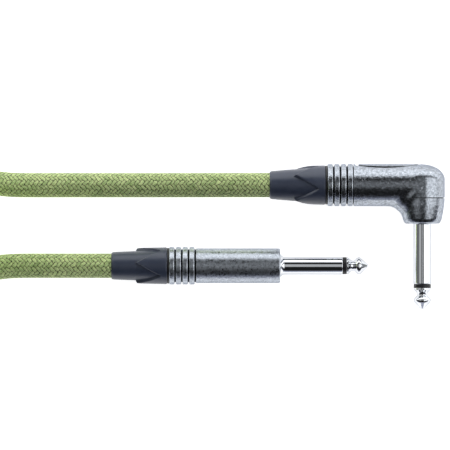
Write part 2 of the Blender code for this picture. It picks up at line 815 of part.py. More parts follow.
def tie(name, x, y, width, height):
    """A hook-and-loop strap round one side of the hank."""
    half = width / 2 + TIE_SLACK
    top = HANK_BASE + height + TIE_SLACK
    bm = bmesh.new()
    loops = []
    for grow in (0.0, TIE_THICK):
        y_out, z_low, z_high = half + grow, TIE_THICK - grow, top + grow
        cut = 1.5 + grow / 2
        outline = [
            (-y_out + cut, z_low),
            (y_out - cut, z_low),
            (y_out, z_low + cut),
            (y_out, z_high - cut),
            (y_out - cut, z_high),
            (-y_out + cut, z_high),
            (-y_out, z_high - cut),
            (-y_out, z_low + cut),
        ]
        for end in (-TIE_WIDTH / 2, TIE_WIDTH / 2):
            loops.append([bm.verts.new((end, a, b)) for a, b in outline])
    inner_left, inner_right, outer_left, outer_right = loops
    ring = [outer_left, outer_right, inner_right, inner_left]
    for first, second in zip(ring, ring[1:] + ring[:1]):
        for k in range(8):
            n = (k + 1) % 8
            bm.faces.new([first[k], first[n], second[n], second[k]])
    add_object(name, bm, "tie_fabric", None, (x, y, 0))


def main():
    clear_scene()
    straight_plug()
    angled_plug()
    straight_mouth_x = STRAIGHT_FACE_X - SHELL_LENGTH - CODE_RING - BOOT_LENGTH
    angled_mouth_x = ANGLED_CORNER_X - BARREL_LENGTH - CODE_RING - BOOT_LENGTH
    cable_run("cable_run_straight", straight_mouth_x, STRAIGHT_AXIS_Y, STRAIGHT_AXIS_Z, [-96.0])
    cable_run("cable_run_angled", angled_mouth_x, ANGLED_AXIS_Y, ANGLED_AXIS_Z, [-46.0, -70.0, -92.0])
    hank()


main()
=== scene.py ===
"""Visual model of the instrument cable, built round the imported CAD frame.

Lengths here are in millimetres until a mesh is made, and in metres from there on. A plug is described along
its own axis, u, which runs towards the tip; u = 0 is the straight shell's front face, and the angled plug's
corner, where its barrel's and its contact's axes cross.
"""

import json
import math

import bmesh
import bpy
import numpy as np
from mathutils import Matrix, Vector

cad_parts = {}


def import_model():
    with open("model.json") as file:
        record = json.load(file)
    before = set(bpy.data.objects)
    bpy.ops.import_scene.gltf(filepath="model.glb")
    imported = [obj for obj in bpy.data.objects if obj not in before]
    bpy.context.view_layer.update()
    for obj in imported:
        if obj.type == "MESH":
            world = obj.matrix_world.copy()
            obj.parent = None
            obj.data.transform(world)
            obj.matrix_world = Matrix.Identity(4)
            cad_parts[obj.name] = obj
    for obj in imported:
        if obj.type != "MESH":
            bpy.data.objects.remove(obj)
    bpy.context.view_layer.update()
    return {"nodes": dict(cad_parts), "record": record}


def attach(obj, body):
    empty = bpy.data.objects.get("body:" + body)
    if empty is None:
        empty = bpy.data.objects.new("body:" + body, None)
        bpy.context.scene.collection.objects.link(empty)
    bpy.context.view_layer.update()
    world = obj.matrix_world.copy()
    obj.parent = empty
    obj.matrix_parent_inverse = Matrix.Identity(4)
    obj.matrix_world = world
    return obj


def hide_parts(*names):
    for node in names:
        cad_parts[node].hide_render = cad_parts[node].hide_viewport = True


MM = 0.001
TAU = 2 * math.pi

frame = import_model()
ROOT = "plugs_and_cable"

# ---- sizes shared with the CAD

SPAN_X, SPAN_Y = 119.9, 52.5  # the two plugs together
STRAIGHT_R, STRAIGHT_TAIL_R = 6.75, 5.6
BARREL_R, ANGLED_TAIL_R, ELBOW_R = 7.6, 6.0, 8.1
STRAIGHT_REAR, ANGLED_REAR = -39.9, -34.1  # where the ribs begin
RING_WIDTH, BOOT_LENGTH, TAIL_LENGTH = 0.8, 20.0, 6.0
SHOULDER = 0.8  # how far the straight contact's shoulder stands out of the shell
ANGLED_Y = SPAN_Y / 2 - BARREL_R
STRAIGHT_Y = ANGLED_Y - 29.0
CORNER_X = SPAN_X / 2 - ELBOW_R
FACE_X = -SPAN_X / 2 + BOOT_LENGTH + RING_WIDTH - STRAIGHT_REAR
STRAIGHT_AT = (FACE_X, STRAIGHT_Y, STRAIGHT_R)
ANGLED_AT = (CORNER_X, ANGLED_Y, BARREL_R)
STRAIGHT_MOUTH = -SPAN_X / 2
ANGLED_MOUTH = CORNER_X + ANGLED_REAR - RING_WIDTH - BOOT_LENGTH
SEAM_DROP, NOSE_DROP = 4.8, 13.9  # how far the cap's seam and the nose's end lie from the barrel's axis

# A 6.35 mm contact, from its shoulder at u = 0
SLEEVE_END, STEP, STEP_END, WAIST, BALL, TIP_END = 21.7, 23.2, 23.75, 25.6, 27.5, 31.0
SHANK_R, WAIST_R, BALL_R = 3.175, 1.8, 3.1
THREAD_PITCH, THREAD_DEPTH = 1.5, 0.4

CABLE_R = 4.4
CABLE_D = 2 * CABLE_R
INTO_BOOT = 3.6  # how far the cable is drawn inside a boot
ROUTE_STEP, ROUTE_SPACING = 2.0, 5.0
DROP_AFTER, DROP_LENGTH = 13.0, 26.0  # from the boot's mouth, down to the table
RISE_FROM, RISE_LENGTH = -92.0, 14.0  # up on the tie that the hank lies on

HANK_RIGHT, HANK_STRAIGHT = -104.0, 82.0
HANK_Y = (ANGLED_Y + STRAIGHT_Y) / 2
HANK_BASE = 1.15
INNER_FOLD, OUTER_FOLD = 3 * CABLE_D, 4 * CABLE_D
HANK_LAYERS = 4
FOLD_RIGHT = HANK_RIGHT - OUTER_FOLD - CABLE_R
FOLD_LEFT = FOLD_RIGHT - HANK_STRAIGHT
HANK_MIDDLE_X = (FOLD_RIGHT + FOLD_LEFT) / 2
LEAD_BEND = 27.0
TURN_LEAD = 36.0  # a turn starts to move to its next place this far before the left fold
TIED = 14.0  # to each side of the hank's middle, where the ties hold the turns in place

# ---- camera and light

VIEW_CENTRE = (-19.1, 4.3)  # on the table, under the camera
VIEW_WIDTH = 161.9
CAMERA_HEIGHT = 1.6


def linked(name, data):
    """A new object in the scene."""
    obj = bpy.data.objects.new(name, data)
    bpy.context.collection.objects.link(obj)
    return obj


def set_camera():
    data = bpy.data.cameras.new("camera")
    data.sensor_width = 36.0
    data.lens = data.sensor_width * CAMERA_HEIGHT / (VIEW_WIDTH * MM)
    data.clip_end = 20.0
    camera = linked("camera", data)
    camera.location = (VIEW_CENTRE[0] * MM, VIEW_CENTRE[1] * MM, CAMERA_HEIGHT + 0.007)
    bpy.context.scene.camera = camera


# ---- node helpers


class Nodes:
    """A small builder for shader node trees: each call adds a node and returns its output socket."""

    def __init__(self, tree):
        self.tree = tree

    def add(self, kind, inputs=(), **settings):
        node = self.tree.nodes.new(kind)
        for key, value in settings.items():
            setattr(node, key, value)
        pairs = inputs.items() if isinstance(inputs, dict) else enumerate(inputs)
        for key, value in pairs:
            self.put(node.inputs[key], value)
        return node

    def put(self, socket, value):
        """Links a socket to another, or sets its value; a colour may be given without its alpha."""
        if isinstance(value, bpy.types.NodeSocket):
            self.tree.links.new(value, socket)
        elif socket.type == "RGBA" and len(value) == 3:
            socket.default_value = (*value, 1.0)
        else:
            socket.default_value = value

    def math(self, operation, *values):
        return self.add("ShaderNodeMath", values, operation=operation).outputs[0]

    def times(self, first, second):
        return self.math("MULTIPLY", first, second)

    def plus(self, first, second):
        return self.math("ADD", first, second)

    def minus(self, first, second):
        return self.math("SUBTRACT", first, second)

    def size(self, value):
        return self.math("ABSOLUTE", value)

    def clamp(self, value, low, high, new_low=0.0, new_high=1.0, smooth=False):
        style = "SMOOTHSTEP" if smooth else "LINEAR"
        names = {"Value": value, "From Min": low, "From Max": high}
        names |= {"To Min": new_low, "To Max": new_high}
        return self.add("ShaderNodeMapRange", names, interpolation_type=style, clamp=True).outputs[0]

    def mix(self, factor, first, second, blend="MIX"):
        node = self.tree.nodes.new("ShaderNodeMix")
        node.data_type = "RGBA"
        node.blend_type = blend
        self.put(node.inputs[0], factor)
        self.put(node.inputs[6], first)
        self.put(node.inputs[7], second)
        return node.outputs[2]

    def noise(self, vector, scale, detail=2.0, roughness=0.5):
        names = {"Vector": vector, "Scale": scale, "Detail": detail, "Roughness": roughness}
        return self.add("ShaderNodeTexNoise", names).outputs[0]

    def bump(self, height, distance, strength):
        names = {"Height": height, "Distance": distance, "Strength": strength}
        return self.add("ShaderNodeBump", names).outputs[0]

    def object_place(self):
        return self.add("ShaderNodeTexCoord").outputs["Object"]


def new_material(name, metallic=0.0):
    """A material, a function that sets one of its shader's inputs, and a builder for its other nodes."""
    made = bpy.data.materials.new(name)
    made.use_nodes = True
    shader = made.node_tree.nodes["Principled BSDF"]
    n = Nodes(made.node_tree)

    def put(socket, value):
        n.put(shader.inputs[socket], value)

    put("Metallic", metallic)
    return made, put, n


# ---- materials


def satin_metal(name, tone, rough_low, rough_high, grooves, seam=None):
    """Tumbled nickel plate: a fine, uneven peened surface that breaks its reflections into specks.

    The grooves between the ribs, and the seam, are painted near black, as painted shade. The grooves are
    given as their axis (y, z), where they begin and end along x, and the radius below which the shade is
    painted, all in millimetres. A seam is given as its upright axis (x, z), the y of its middle, its half
    width, and the radius again.
    """
    made, put, n = new_material(name, 1.0)
    place = n.object_place()
    peened = n.noise(place, 1150.0, 3.0, 0.62)
    fine = n.noise(place, 3600.0, 2.0, 0.6)
    broad = n.noise(place, 260.0, 3.0, 0.6)
    # Convex edges, found by Pointiness, are painted lighter: a painted highlight on the rib edges.
    painted_edge_highlight = n.clamp(n.add("ShaderNodeNewGeometry").outputs["Pointiness"], 0.505, 0.56)
    speck = n.clamp(n.math("MULTIPLY_ADD", fine, 0.45, n.times(peened, 0.55)), 0.38, 0.62)
    dull, shiny = (0.30, 0.325, 0.36), (0.66, 0.70, 0.77)
    dull, shiny = [[tone * c for c in colour] for colour in (dull, shiny)]
    colour = n.mix(speck, dull, shiny)
    colour = n.mix(n.times(painted_edge_highlight, 0.5), colour, (0.74, 0.78, 0.84))
    split = n.add("ShaderNodeSeparateXYZ", (place,)).outputs

    def near(value, middle, reach):
        return n.math("LESS_THAN", n.size(n.minus(value, middle)), reach)

    def near_axis(across, up, radius):
        squared = n.plus(n.times(across, across), n.times(up, up))
        return n.math("LESS_THAN", squared, radius**2)

    y, z, first, last, radius = [value * MM for value in grooves]
    deep = near_axis(n.minus(split[1], y), n.minus(split[2], z), radius)
    dark = n.times(deep, near(split[0], (first + last) / 2, (last - first) / 2))
    if seam:
        x, z, y, half_gap, radius = [value * MM for value in seam]
        up = n.math("DIVIDE", n.minus(split[2], z), ELBOW_SQUEEZE)
        deep = near_axis(n.minus(split[0], x), up, radius)
        dark = n.math("MAXIMUM", dark, n.times(deep, near(split[1], y, half_gap)))
    # Painted shade: the rib grooves, the eye's groove and the seam's floor are mixed to near black.
    put("Base Color", n.mix(dark, colour, (0.012, 0.0125, 0.014)))
    rough = n.math("MULTIPLY_ADD", broad, 0.10, n.clamp(peened, 0.3, 0.7, rough_low, rough_high))
    put("Roughness", rough)
    height = n.math("MULTIPLY_ADD", fine, 0.3, peened)
    put("Normal", n.bump(height, TUMBLED, 0.5))
    put("Specular Tint", (0.55, 0.57, 0.62))
    return made


def bright_metal():
    made, put, n = new_material("polished_nickel", 1.0)
    place = n.object_place()
    haze = n.noise(place, 420.0, 3.0, 0.6)
    polish = n.noise(place, 900.0, 4.0, 0.7)
    put("Base Color", n.mix(haze, (0.76, 0.78, 0.81), (0.87, 0.885, 0.91)))
    put("Roughness", n.clamp(haze, 0.3, 0.75, 0.045, 0.11))
    put("Normal", n.bump(polish, 0.00002, 0.12))
    put("Specular Tint", (0.36, 0.38, 0.42))
    return made


def boot_plastic():
    made, put, n = new_material("slate_plastic")
    place = n.object_place()
    grain = n.noise(place, 5200.0, 2.0, 0.6)
    cloud = n.noise(place, 240.0, 3.0, 0.55)
    put("Base Color", n.mix(cloud, (0.030, 0.040, 0.072), (0.047, 0.060, 0.102)))
    put("Roughness", n.clamp(cloud, 0.3, 0.7, 0.3, 0.42))
    put("IOR", 1.65)
    put("Normal", n.bump(grain, 0.00004, 0.35))
    return made


def plain_plastic(name, low, high, rough, grain_scale=3500.0):
    made, put, n = new_material(name)
    place = n.object_place()
    cloud = n.noise(place, 300.0, 3.0, 0.55)
    put("Base Color", n.mix(cloud, low, high))
    put("Roughness", n.clamp(cloud, 0.3, 0.7, rough - 0.06, rough + 0.06))
    put("Normal", n.bump(n.noise(place, grain_scale, 2.0, 0.6), 0.00004, 0.3))
    return made


def plain_metal(name, low, high, rough, wobble):
    made, put, n = new_material(name, 1.0)
    place = n.object_place()
    cloud = n.noise(place, 700.0, 3.0, 0.6)
    put("Base Color", n.mix(cloud, low, high))
    put("Roughness", n.clamp(cloud, 0.3, 0.7, rough - 0.08, rough + 0.08))
    put("Normal", n.bump(cloud, wobble, 0.4))
    return made


# The braid: carriers each way round the cable, and the length along it from one yarn to the next
CARRIERS = 16
YARN_PITCH = 1.65
YARN_LEAN = CARRIERS * YARN_PITCH / (TAU * CABLE_R)


def braid():
    """A two-over, two-under braid, drawn from the cable's length (U) and girth (V), in millimetres."""
    made, put, n = new_material("green_braid")
    uv = n.add("ShaderNodeUVMap", uv_map="run").outputs[0]
    place = n.object_place()
    shake = n.add("ShaderNodeTexNoise", {"Vector": place, "Scale": 520.0, "Detail": 2.0}).outputs["Color"]
    shake = n.add("ShaderNodeVectorMath", (shake, (0.5, 0.5, 0.5)), operation="SUBTRACT").outputs[0]
    shake = n.add("ShaderNodeVectorMath", {0: shake, "Scale": 1.5}, operation="SCALE").outputs[0]
    moved = n.add("ShaderNodeVectorMath", (uv, shake), operation="ADD").outputs[0]
    split = n.add("ShaderNodeSeparateXYZ", (moved,)).outputs
    along = n.math("DIVIDE", split[0], YARN_PITCH)
    round_it = n.times(split[1], YARN_LEAN / YARN_PITCH)
    heights, tones, covers, streaks = [], [], [], []
    places = (n.plus(along, round_it), n.minus(along, round_it))
    cells = [n.math("FLOOR", p) for p in places]
    for own, other, middle in ((0, 1, 0.0), (1, 0, 3.0)):
        across = n.minus(n.minus(places[own], cells[own]), 0.5)
        on = n.minus(places[other], n.plus(cells[own], middle))
        on = n.minus(n.math("FLOORED_MODULO", n.plus(on, 2.0), 4.0), 2.0)
        from_middle = n.size(n.times(across, 2.0))
        full = n.minus(1.0, n.math("POWER", from_middle, 3.6))
        from_middle = n.math("MINIMUM", n.size(on), 1.0)
        float_rise = n.minus(1.0, n.math("POWER", from_middle, 3.0))
        strands = n.math("SINE", n.times(across, TAU * 3.5))
        streaks.append(strands)
        strands = n.times(strands, 0.16)
        height = n.times(full, n.math("MULTIPLY_ADD", float_rise, 0.75, 0.25))
        heights.append(n.math("MULTIPLY_ADD", strands, float_rise, height))
        seed = n.add("ShaderNodeCombineXYZ", (cells[own], float(own), 0.0)).outputs[0]
        random = n.add("ShaderNodeTexWhiteNoise", {"Vector": seed}, noise_dimensions="3D")
        tones.append(random.outputs["Value"])
        covers.append(n.math("LESS_THAN", n.size(on), 1.0))
    height = n.times(heights[0], covers[0])
    height = n.math("MAXIMUM", height, n.times(heights[1], covers[1]))
    tone = n.times(tones[0], covers[0])
    tone = n.plus(tone, n.times(tones[1], covers[1]))
    fuzz = n.noise(place, 3800.0, 3.0, 0.65)
    patch = n.noise(place, 900.0, 2.0, 0.55)
    streak = n.times(streaks[0], covers[0])
    bare = n.minus(1.0, covers[0])
    streak = n.plus(streak, n.times(streaks[1], bare))
    tone = n.plus(n.times(tone, 0.22), n.times(patch, 0.95))
    tone = n.math("MULTIPLY_ADD", fuzz, 0.5, n.minus(tone, 0.25))
    tone = n.math("MULTIPLY_ADD", streak, 0.2, tone)
    light = n.mix(n.clamp(tone, 0.25, 0.85), (0.31, 0.46, 0.15), (0.88, 1.0, 0.47))
    # Where the yarns dip low the colour is painted near black: partly the dark holes of the weave, partly
    # painted shade where the yarns dip under each other.
    lit = n.plus(height, n.times(n.minus(fuzz, 0.5), 0.55))
    gaps = n.clamp(lit, 0.1, 0.62, smooth=True)
    put("Base Color", n.mix(gaps, (0.022, 0.036, 0.006), light))
    put("Roughness", 0.86)
    put("Sheen Weight", 0.12)
    put("Sheen Roughness", 0.5)
    height = n.math("MULTIPLY_ADD", fuzz, 0.35, height)
    put("Normal", n.bump(height, 0.00028, 0.9))
    return made


def strap_fabric():
    """Black hook-and-loop strap: close rows of loops with a little fluff."""
    made, put, n = new_material("black_strap")
    place = n.object_place()
    loops = n.add("ShaderNodeTexVoronoi", {"Vector": place, "Scale": 2100.0}).outputs["Distance"]
    fluff = n.noise(place, 5200.0, 3.0, 0.7)
    tone = n.plus(n.times(loops, 0.6), n.times(fluff, 0.5))
    put("Base Color", n.mix(tone, (0.006, 0.006, 0.007), (0.055, 0.055, 0.06)))
    put("Roughness", 0.95)
    put("Sheen Weight", 0.3)
    put("Normal", n.bump(tone, 0.0003, 0.9))
    return made


def floor_paper():
    """The white of a light table: lit a little from below, so that shadows on it are faint."""
    made, put, n = new_material("white_table")
    place = n.object_place()
    cloud = n.noise(place, 3.0, 2.0, 0.5)
    put("Base Color", n.mix(cloud, (0.93, 0.93, 0.93), (0.95, 0.95, 0.95)))
    put("Roughness", 0.8)
    put("Specular IOR Level", 0.2)
    put("Emission Color", (1.0, 1.0, 1.0))
    put("Emission Strength", 0.84)
    return made


# Where satin_metal paints shade, near black. The angled plug's stretch takes in the eye-shaped groove on its
# barrel.
STRAIGHT_GROOVE_SHADE = (*STRAIGHT_AT[1:], FACE_X - 39.5, FACE_X - 30.2, STRAIGHT_R - 0.3)
ANGLED_GROOVE_SHADE = (*ANGLED_AT[1:], CORNER_X - 33.7, CORNER_X - 0.3, BARREL_R - 0.22)

ELBOW_SQUEEZE = 0.936  # depth of the elbow's column over its width
SEAM_GAP = 0.36
SEAM_Y = ANGLED_Y - SEAM_DROP + SEAM_GAP / 2
# The seam's floor under its gap, painted near black as painted shade.
SEAM_SHADE = (CORNER_X, BARREL_R, SEAM_Y, SEAM_GAP / 2 + 0.01, ELBOW_R - 0.15)
TUMBLED = 0.00013  # height of the tumbled surface's bumps, in metres

MATERIALS = {
    "nickel_satin": satin_metal("tumbled_nickel", 0.95, 0.2, 0.32, STRAIGHT_GROOVE_SHADE),
    "nickel_bright": bright_metal(),
    "boot_plastic": boot_plastic(),
    "black_plastic": plain_plastic("black_plastic", (0.007, 0.007, 0.008), (0.016, 0.016, 0.019), 0.42),
    "white_plastic": plain_plastic("offwhite_plastic", (0.70, 0.69, 0.63), (0.80, 0.79, 0.74), 0.5),
    "cable_braid": braid(),
    "cable_jacket": plain_plastic("jacket", (0.018, 0.018, 0.02), (0.035, 0.035, 0.038), 0.6, 2400.0),
    "core_plastic": plain_plastic("core_insulation", (0.74, 0.72, 0.65), (0.84, 0.82, 0.76), 0.45),
    "copper": plain_metal("copper_strand", (0.62, 0.28, 0.16), (0.83, 0.45, 0.28), 0.3, 0.0001),
    "solder": plain_metal("solder", (0.55, 0.56, 0.57), (0.74, 0.75, 0.76), 0.3, 0.00008),
    "tie_fabric": strap_fabric(),
}

# The angled plug is of the same metal, tumbled a little less
ANGLED_METAL = satin_metal("tumbled_nickel_angled", 0.84, 0.11, 0.22, ANGLED_GROOVE_SHADE, SEAM_SHADE)

# ---- mesh helpers


def as_mesh(bm):
    bmesh.ops.recalc_face_normals(bm, faces=bm.faces)
    mesh = bpy.data.meshes.new("solid")
    bm.to_mesh(mesh)
    bm.free()
    return mesh


def as_bmesh(mesh):
    bm = bmesh.new()
    bm.from_mesh(mesh)
    return bm


def finish_piece(name, bm, slot, body, replaced, sharp=35.0):
    """Makes an object from a bmesh in millimetres, gives it its material and puts it on its body."""
    bm.transform(Matrix.Scale(MM, 4))
    mesh = as_mesh(bm)
    mesh.name = name
    mesh.shade_smooth()
    mesh.set_sharp_from_angle(angle=math.radians(sharp))
    mesh.materials.append(MATERIALS[slot])
    obj = linked(name, mesh)
    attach(obj, body)
    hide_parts(*replaced)
    return obj


def supported(profile):
    """The profile with extra points near the ends of its long lines, so that their shading stays flat."""
    points = [profile[0]]
    for first, second in zip(profile, profile[1:]):
        if not callable(first[1]) and not callable(second[1]):
            length = math.hypot(second[0] - first[0], second[1] - first[1])
            if length > 1.0:
                for share in (0.12 / length, 1 - 0.12 / length):
                    points.append(tuple(a + (b - a) * share for a, b in zip(first, second)))
        points.append(second)
    return points


def turned(profile, segments=96):
    """A closed solid turned about X, from points (u, radius), where a radius may be a function of the angle.

    A profile whose ends are both off the axis gives a tube.
    """
    bm = bmesh.new()
    rings = []
    for u, radius in supported(profile):
        if not callable(radius) and radius < 1e-6:
            rings.append([bm.verts.new((u, 0.0, 0.0))])
            continue
        ring = []
        for k in range(segments):
            a = TAU * k / segments
            r = radius(a) if callable(radius) else radius
            ring.append(bm.verts.new((u, r * math.cos(a), r * math.sin(a))))
        rings.append(ring)
    pairs = list(zip(rings, rings[1:]))
    if len(rings[0]) > 1 and len(rings[-1]) > 1:
        pairs.append((rings[-1], rings[0]))
    for first, second in pairs:
        for k in range(segments):
            n = (k + 1) % segments
            corners = [first[k % len(first)], first[n % len(first)]]
            corners += [second[n % len(second)], second[k % len(second)]]
            distinct = list(dict.fromkeys(corners))
            if len(distinct) > 2:
                bm.faces.new(distinct)
    return bm


def arc(centre_u, centre_r, radius, start_deg, end_deg, steps):
    points = []
    for k in range(steps + 1):
        a = math.radians(start_deg + (end_deg - start_deg) * k / steps)
        points.append((centre_u + radius * math.cos(a), centre_r + radius * math.sin(a)))
    return points


def rounded(points, radius, steps=4):
    """A profile with its inner corners rounded off, each by as much as its neighbours leave room for."""
    made = [points[0]]
    for before, corner, after in zip(points, points[1:], points[2:]):
        c = Vector(corner)
        towards = [Vector(before) - c, Vector(after) - c]
        cut = min(radius, 0.45 * towards[0].length, 0.45 * towards[1].length)
        start, end = (c + t.normalized() * cut for t in towards)
        for k in range(steps + 1):
            t = k / steps
            made.append(tuple(start * (1 - t) ** 2 + c * 2 * t * (1 - t) + end * t * t))
    made.append(points[-1])
    return made


def thread_radius(u, root_r, fade):
    def radius(angle):
        phase = u / THREAD_PITCH - angle / TAU
        return root_r + fade * THREAD_DEPTH * (0.5 - 0.5 * math.cos(TAU * phase))

    return radius


def thread_rows(start, end, root_r, rows_per_pitch=12):
    """Points of a profile along a thread, which fades in and out over four of them at its ends."""
    count = round(abs(end - start) / THREAD_PITCH * rows_per_pitch)
    rows = []
    for k in range(count + 1):
        fade = min(1.0, k / 4, (count - k) / 4)
        u = start + (end - start) * k / count
        rows.append((u, thread_radius(u, root_r, fade)))
    return rows


def finish_at(name, bm, slot, body, replaced, x, y, z, turn=0.0, sharp=35.0):
    """finish_piece for a bmesh made round the origin, which is turned about Z and moved to its place."""
    move = Matrix.Translation((x, y, z)) @ Matrix.Rotation(turn, 4, "Z")
    bm.transform(move)
    return finish_piece(name, bm, slot, body, replaced, sharp=sharp)


# ---- the cable's route


def smoother(t):
    t = min(max(t, 0.0), 1.0)
    return t * t * t * (t * (6 * t - 15) + 10)


def run_height(x, mouth, axis_z):
    """Straight out of the boot, down to the table, and up on the ties that the hank lies on."""
    down = (axis_z - CABLE_R) * smoother((mouth - DROP_AFTER - x) / DROP_LENGTH)
    return axis_z - down + HANK_BASE * smoother((RISE_FROM - x) / RISE_LENGTH)


def flank(mouth, axis_y, axis_z):
    """From a boot's mouth along the table, round one bend, and on to the hank's outer fold."""
    side = 1 if axis_y > HANK_Y else -1
    offset = abs(axis_y - HANK_Y)
    centre_y = offset + LEAD_BEND
    centre_x = math.sqrt((OUTER_FOLD + LEAD_BEND) ** 2 - centre_y**2)
    line = []
    x = mouth + INTO_BOOT
    while x > FOLD_RIGHT + centre_x + 1:
        line.append((x, offset))
        x -= ROUTE_STEP
    bend = math.acos(centre_y / (OUTER_FOLD + LEAD_BEND))
    count = int(LEAD_BEND * bend / ROUTE_STEP)
    for k in range(count):
        b = bend * k / count
        x = FOLD_RIGHT + centre_x - LEAD_BEND * math.sin(b)
        line.append((x, centre_y - LEAD_BEND * math.cos(b)))
    from_angle = math.atan2(centre_y, centre_x)
    count = int(OUTER_FOLD * (math.pi / 2 - from_angle) / ROUTE_STEP)
    for k in range(count):
        a = from_angle + (math.pi / 2 - from_angle) * k / count
        line.append((FOLD_RIGHT + OUTER_FOLD * math.cos(a), OUTER_FOLD * math.sin(a)))
    return [(x, HANK_Y + side * y, run_height(x, mouth, axis_z)) for x, y in line]


def hank_turns():
    """Eight turns, stacked two wide and four high. Each moves on to the next place at the left fold."""
    levels = [HANK_BASE + CABLE_R + CABLE_D * k for k in range(HANK_LAYERS)]
    places = [(OUTER_FOLD, levels[0])] + [(INNER_FOLD, z) for z in levels]
    places += [(OUTER_FOLD, z) for z in reversed(levels)]
    line = []
    for turn, ((r0, z0), (r1, z1)) in enumerate(zip(places, places[1:])):
        fold = math.pi * (r0 + r1) / 2
        count = int(HANK_STRAIGHT / ROUTE_STEP)

        def moved(distance):
            s = smoother(distance / (2 * TURN_LEAD + fold))
            return r0 + (r1 - r0) * s, z0 + (z1 - z0) * s

        for k in range(count):
            x = FOLD_RIGHT - HANK_STRAIGHT * k / count
            r, z = moved(FOLD_LEFT + TURN_LEAD - x)
            line.append((x, HANK_Y - r, z))
        steps = int(fold / ROUTE_STEP)
        for k in range(steps):
            a = math.pi * k / steps
            r, z = moved(TURN_LEAD + fold * k / steps)
            line.append((FOLD_LEFT - r * math.sin(a), HANK_Y - r * math.cos(a), z))
        for k in range(count):
            x = FOLD_LEFT + HANK_STRAIGHT * k / count
            r, z = moved(TURN_LEAD + fold + x - FOLD_LEFT)
            line.append((x, HANK_Y + r, z))
        if turn < len(places) - 2:
            steps = int(math.pi * r1 / ROUTE_STEP)
            for k in range(steps):
                a = math.pi * k / steps
                line.append((FOLD_RIGHT + r1 * math.sin(a), HANK_Y + r1 * math.cos(a), z1))
    return line


def resampled(line, spacing):
    line = np.asarray(line, float)
    steps = np.linalg.norm(np.diff(line, axis=0), axis=1)
    run = np.concatenate([[0.0], np.cumsum(steps)])
    count = int(round(run[-1] / spacing))
    at = np.linspace(0.0, run[-1], count + 1)
    return np.stack([np.interp(at, run, line[:, k]) for k in range(3)], axis=1)


def pushed_apart(line, spacing, rounds=160):
    """Pushes turns that would lie in each other apart to a cable's width.

    Points under the ties and points short of the hank stay where they are.
    """
    free = 1 - np.clip(1 - np.abs(line[:, 0] - HANK_MIDDLE_X) / TIED, 0, 1)
    free[line[:, 0] > HANK_RIGHT + 5] = 0
    free = free[:, None]
    shift = np.zeros_like(line)
    index = np.arange(len(line))
    apart = np.abs(index[:, None] - index[None]) > int(2.2 * CABLE_D / spacing)
    apart &= index[:, None] < index[None]
    wanted = 1.017 * CABLE_D
    lowest = np.minimum(0, HANK_BASE + CABLE_R - line[:, 2])
    for _ in range(rounds):
        now = line + shift
        gaps = ((now[:, None] - now[None]) ** 2).sum(2)
        first, second = np.where((gaps < wanted**2) & apart)
        if not len(first):
            break
        away = now[second] - now[first]
        length = np.linalg.norm(away, axis=1, keepdims=True)
        push = 0.4 * away / np.maximum(length, 1e-6) * (wanted - length)
        change = np.zeros_like(shift)
        np.add.at(change, second, push)
        np.add.at(change, first, -push)
        shift += change * free
        for _ in range(2):
            shift[1:-1] = 0.5 * shift[1:-1] + 0.25 * (shift[:-2] + shift[2:])
        shift *= free
        shift[:, 2] = np.maximum(shift[:, 2], lowest)
    return line + shift


def eased(line, rounds):
    """Small kinks between the route's pieces smoothed away, with both ends kept."""
    for _ in range(rounds):
        line[1:-1] = 0.5 * line[1:-1] + 0.25 * (line[:-2] + line[2:])
    return line


def spline_through(points, per_span):
    """A smooth curve through every point (Catmull-Rom)."""
    p = np.vstack([2 * points[0] - points[1], points, 2 * points[-1] - points[-2]])
    made = []
    for k in range(1, len(p) - 2):
        for j in range(per_span):
            t = j / per_span
            a, b, c, d = p[k - 1 : k + 3]
            square, cube = 2 * a - 5 * b + 4 * c - d, 3 * b - a - 3 * c + d
            made.append(0.5 * (2 * b + (c - a) * t + square * t * t + cube * t**3))
    made.append(p[-2])
    return np.array(made)


def cable_route():
    line = flank(STRAIGHT_MOUTH, STRAIGHT_Y, STRAIGHT_R)
    line += hank_turns()
    line += flank(ANGLED_MOUTH, ANGLED_Y, BARREL_R)[::-1]
    line = pushed_apart(resampled(line, ROUTE_SPACING), ROUTE_SPACING)
    return eased(line, 2)


